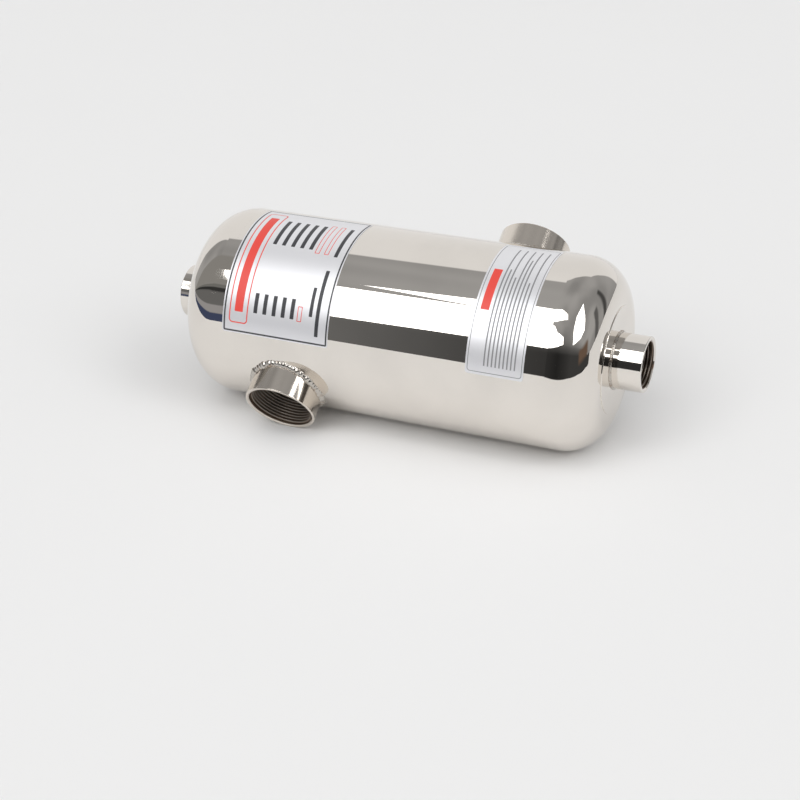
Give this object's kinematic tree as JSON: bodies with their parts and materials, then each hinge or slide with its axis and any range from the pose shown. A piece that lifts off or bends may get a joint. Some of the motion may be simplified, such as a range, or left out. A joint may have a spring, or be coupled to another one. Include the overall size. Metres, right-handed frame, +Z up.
{
  "type": "shell and tube heat exchanger",
  "caption": "Closed round shell with domed ends round a bundle of tubes, with threaded sockets in its ends for one water circuit and in its sides for the other.",
  "frame": {"origin": "on the surface that the vessel lies on, under the middle of the shell", "axes": "+X along the shell's axis to the right end socket, +Z up from the surface that the vessel lies on, -Y towards the front side socket"},
  "size_m": [0.3604, 0.1716, 0.1399],
  "materials": {
    "polished_sheet": "mirror polished",
    "polished_head": "mirror polished",
    "polished_socket": "mirror polished",
    "satin_socket": "turned satin",
    "weld_bead": "brushed weld",
    "inner_plate": "mill",
    "inner_tube": "drawn",
    "silver_film": "satin film"
  },
  "bodies": {
    "root": {"shell": "polished_sheet", "left_head": "polished_head", "right_head": "polished_head", "left_end_socket": "polished_socket", "right_end_socket": "polished_socket", "left_end_weld": "weld_bead", "right_end_weld": "weld_bead", "front_side_socket": "satin_socket", "rear_side_socket": "satin_socket", "front_side_weld": "weld_bead", "rear_side_weld": "weld_bead", "left_tube_plate": "inner_plate", "right_tube_plate": "inner_plate", "left_baffle": "inner_plate", "middle_baffle": "inner_plate", "right_baffle": "inner_plate", "tube_row_1": "inner_tube", "tube_row_2": "inner_tube", "tube_row_3": "inner_tube", "tube_row_4": "inner_tube", "tube_row_5": "inner_tube", "tube_row_6": "inner_tube", "tube_row_7": "inner_tube", "tube_row_8": "inner_tube", "tube_row_9": "inner_tube", "rating_label": "silver_film", "notice_label": "silver_film"}
  },
  "joints": []
}
